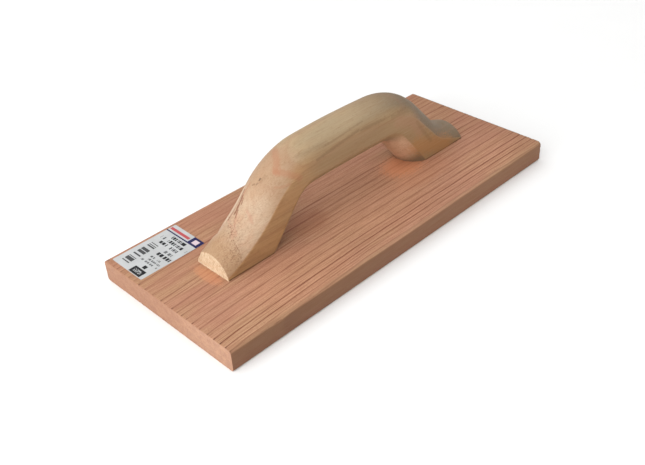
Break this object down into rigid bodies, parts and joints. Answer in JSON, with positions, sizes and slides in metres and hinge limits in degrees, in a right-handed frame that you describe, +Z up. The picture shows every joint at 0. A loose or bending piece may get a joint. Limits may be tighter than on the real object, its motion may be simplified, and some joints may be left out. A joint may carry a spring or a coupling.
{
  "type": "hand float",
  "caption": "Wooden hand float for masonry and concrete: a flat redwood blade with a shaped pine handle screwed on top.",
  "frame": {"origin": "middle of the blade's underside, which is the working face", "axes": "+X along the blade and the handle, away from the end with the label; +Y across the blade, towards the side with the label; +Z up through the handle"},
  "size_m": [0.3048, 0.127, 0.0787],
  "materials": {
    "redwood": "planed and unfinished, matt, with fine dark growth lines",
    "pine": "sanded and unfinished, satin, with a knot swirl",
    "paper": null,
    "zinc_plate": "zinc plated"
  },
  "bodies": {
    "root": {"blade": "redwood", "handle": "pine", "label": "paper", "screw_left_toe": "zinc_plate", "screw_left_heel": "zinc_plate", "screw_right_heel": "zinc_plate", "screw_right_toe": "zinc_plate"}
  },
  "joints": []
}
